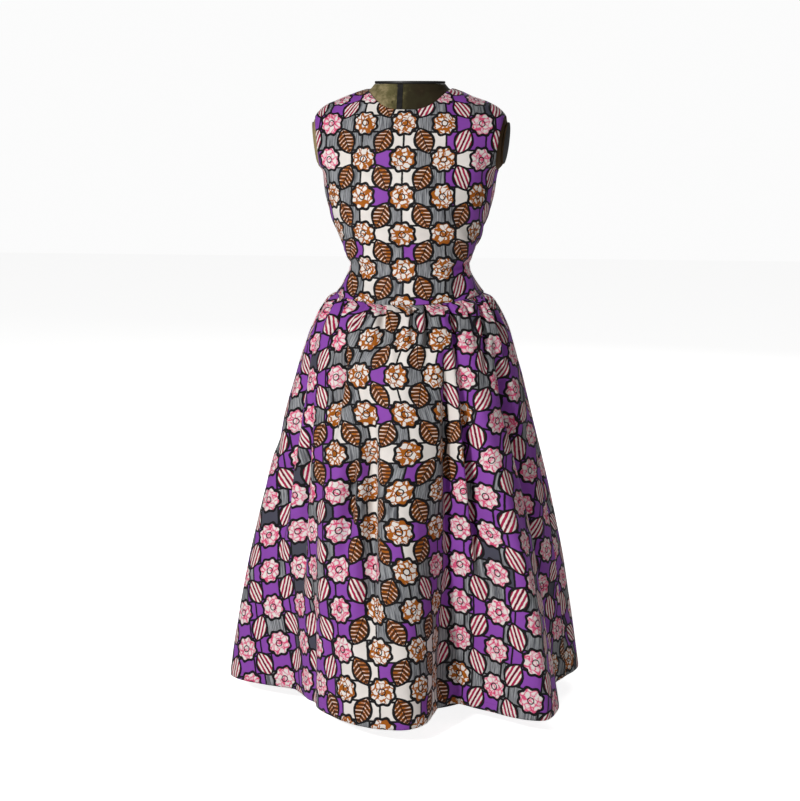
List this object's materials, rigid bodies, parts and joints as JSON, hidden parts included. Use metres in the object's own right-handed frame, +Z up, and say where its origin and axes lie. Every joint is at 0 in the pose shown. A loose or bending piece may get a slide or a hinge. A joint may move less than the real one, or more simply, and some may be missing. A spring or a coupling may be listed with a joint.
{
  "type": "sleeveless midi dress on a limbless dress form with a stand",
  "caption": "Sleeveless printed cotton midi dress with a round neck, waist seam, gathered skirt and centre-back zip, worn on a limbless dress form on a round-based stand.",
  "frame": {"origin": "centre of the stand base's underside, on the floor", "axes": "+Z up along the stand's pole, -Y out of the dress's front, +X to the wearer's left"},
  "size_m": [0.6619, 0.6576, 1.1523],
  "materials": {
    "printed_cotton": "matt cotton with a slight sheen and a wax-style print",
    "zip_tape_cotton": "matt woven tape",
    "zip_enamel": "satin enamel",
    "form_linen": "matt plain weave",
    "form_trim": "satin black",
    "stand_metal": "brushed",
    "stand_iron": "black satin paint"
  },
  "bodies": {
    "dress": {"bodice_front": "printed_cotton", "bodice_back_left": "printed_cotton", "bodice_back_right": "printed_cotton", "skirt_front": "printed_cotton", "skirt_back_left": "printed_cotton", "skirt_back_right": "printed_cotton", "zip_tape_left": "zip_tape_cotton", "zip_tape_right": "zip_tape_cotton", "zip_slider": "zip_enamel", "form_torso": "form_linen", "form_neck_cap": "form_trim", "form_arm_plate_left": "form_trim", "form_arm_plate_right": "form_trim", "stand_base": "stand_iron", "stand_pole": "stand_metal", "stand_socket": "stand_metal"},
    "zip_pull": {"zip_pull": "zip_enamel"}
  },
  "joints": [
    {"name": "zip_pull_turn", "type": "hinge", "parent": "dress", "child": "zip_pull", "pos_m": [0, 0.07682, 1.12001], "axis": [1, 0, 0], "range_deg": [0, 170]}
  ]
}
